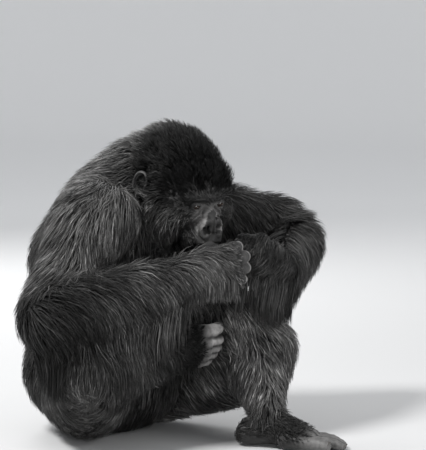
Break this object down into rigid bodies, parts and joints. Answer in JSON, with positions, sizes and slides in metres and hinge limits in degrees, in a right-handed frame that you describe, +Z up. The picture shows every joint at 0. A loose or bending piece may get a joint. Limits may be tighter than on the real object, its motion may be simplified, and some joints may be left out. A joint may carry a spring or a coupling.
{
  "type": "mountain gorilla",
  "caption": "Life-size still model of a sitting mountain gorilla, hands at its mouth, one foot drawn up, for a museum or scene.",
  "frame": {"origin": "on the floor, in the middle of the flat under the rump", "axes": "+Z up, -Y the way the body faces, -X the animal's right side"},
  "size_m": [0.9875, 0.8244, 0.7572],
  "materials": {
    "coat": "long soft black fur, grey where the light catches the tips",
    "skin": "creased dark grey skin, paler on knuckles, toes and nose",
    "eye": "wet and glossy, dark brown",
    "nail": "smooth dark horn, slightly polished"
  },
  "bodies": {
    "root": {"head": "coat", "neck": "coat", "chest": "coat", "abdomen": "coat", "upper_arm_right": "coat", "upper_arm_left": "coat", "forearm_right": "coat", "forearm_left": "coat", "thigh_right": "coat", "thigh_left": "coat", "shin_right": "coat", "shin_left": "coat", "hand_right": "skin", "hand_left": "skin", "foot_right": "skin", "foot_left": "skin", "ear_right": "skin", "ear_left": "skin", "eye_right": "eye", "eye_left": "eye"}
  },
  "joints": []
}
